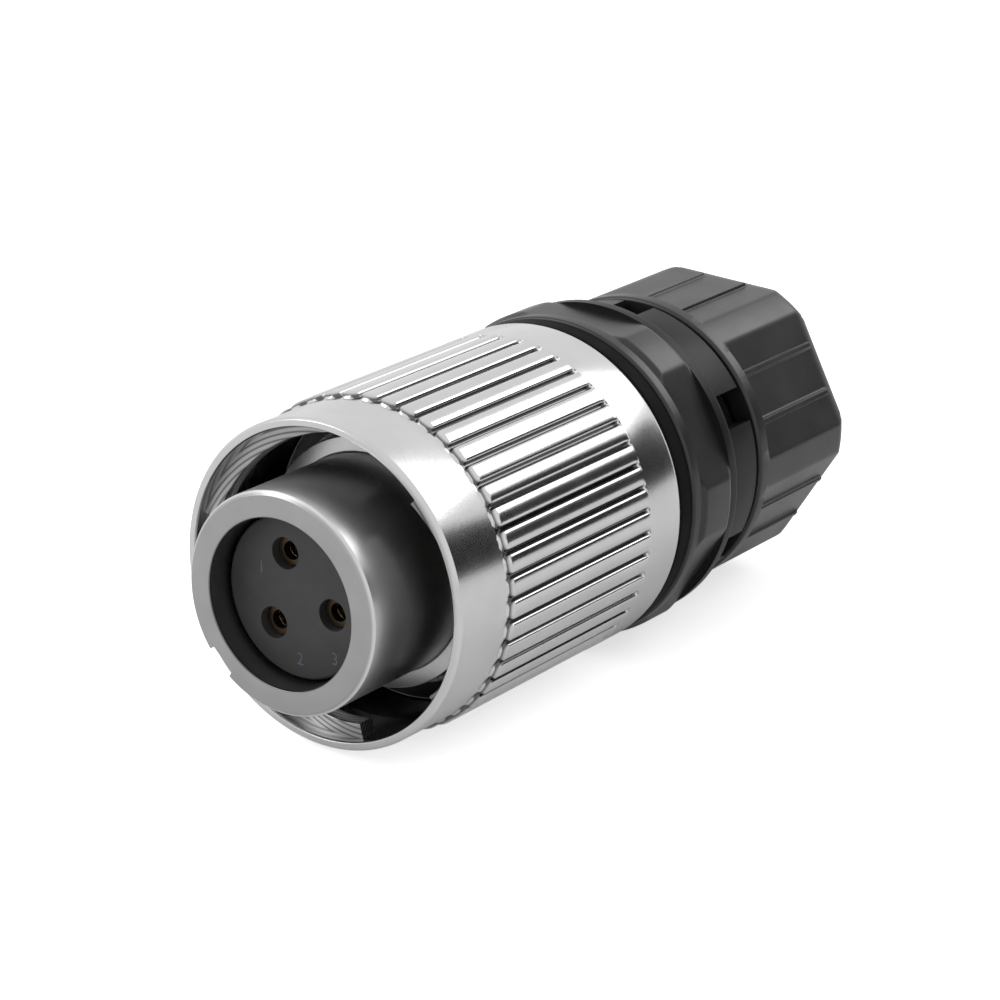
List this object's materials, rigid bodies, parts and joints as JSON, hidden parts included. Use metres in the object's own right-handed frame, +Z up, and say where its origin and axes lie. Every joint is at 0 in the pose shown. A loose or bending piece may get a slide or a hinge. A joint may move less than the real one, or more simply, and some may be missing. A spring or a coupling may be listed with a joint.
{
  "type": "circular power connector",
  "caption": "Cylindrical cable plug: recessed socket contacts in a keyed metal nose, a knurled bayonet coupling ring, a hexagonal back shell and a screw cable gland.",
  "frame": {"origin": "on the plug's axis, at its mating face, the front end of the metal nose", "axes": "-Y out of the mating face towards the mating receptacle, +Y along the axis towards the cable, +Z up as the plug lies on a flat of its hexagon, +X to the right as seen from in front"},
  "size_m": [0.0296, 0.0655, 0.029],
  "materials": {
    "nickel": "satin nickel plate on turned metal",
    "nickel_ring": "satin nickel plate on turned and knurled metal",
    "insert_grey": "dark grey moulded insulator",
    "contact_brass": "plated copper alloy",
    "spring_steel": "bright stainless spring steel",
    "white_plastic": "low-friction natural plastic",
    "black_rubber": "black sealing rubber",
    "black_plastic": "black moulded nylon, slightly glossy",
    "nut_plastic": "black moulded nylon, slightly glossy",
    "cage_plastic": "dark grey moulded nylon",
    "seal_rubber": "black sealing rubber"
  },
  "bodies": {
    "shell": {"plug_shell": "nickel", "front_insulator": "insert_grey", "rear_insulator": "insert_grey", "insert_retaining_ring": "spring_steel", "socket_contact_1": "contact_brass", "socket_contact_2": "contact_brass", "socket_contact_3": "contact_brass", "contact_hood_1": "spring_steel", "contact_hood_2": "spring_steel", "contact_hood_3": "spring_steel", "disc_spring": "spring_steel", "slide_washer": "white_plastic", "rear_seal": "black_rubber", "back_shell": "black_plastic", "shell_o_ring": "black_rubber", "cable_seal": "seal_rubber", "clamp_cage": "cage_plastic"},
    "ring_washer": {"thrust_washer": "spring_steel"},
    "ring": {"coupling_ring": "nickel_ring"},
    "gland_washer": {"slip_washer": "white_plastic"},
    "nut": {"gland_nut": "nut_plastic"}
  },
  "joints": [
    {"name": "ring_float", "type": "slide", "parent": "shell", "child": "ring_washer", "axis": [0, -1, 0], "range_m": [0, 0.0006], "stiffness_N_per_m": 8000, "springref_m": -0.0012, "deforming": ["disc_spring"]},
    {"name": "ring_turn", "type": "hinge", "parent": "ring_washer", "child": "ring", "pos_m": [0, 0.0184, 0], "axis": [0, 1, 0], "continuous": true},
    {"name": "nut_advance", "type": "slide", "parent": "shell", "child": "gland_washer", "axis": [0, 1, 0], "range_m": [0, 0.0075]},
    {"name": "nut_turn", "type": "hinge", "parent": "gland_washer", "child": "nut", "pos_m": [0, 0.058, 0], "axis": [0, 1, 0], "range_deg": [0, 1800]}
  ],
  "couplings": [
    {"joint": "nut_advance", "follows": "nut_turn", "m_per_rad": 0.00023873}
  ]
}
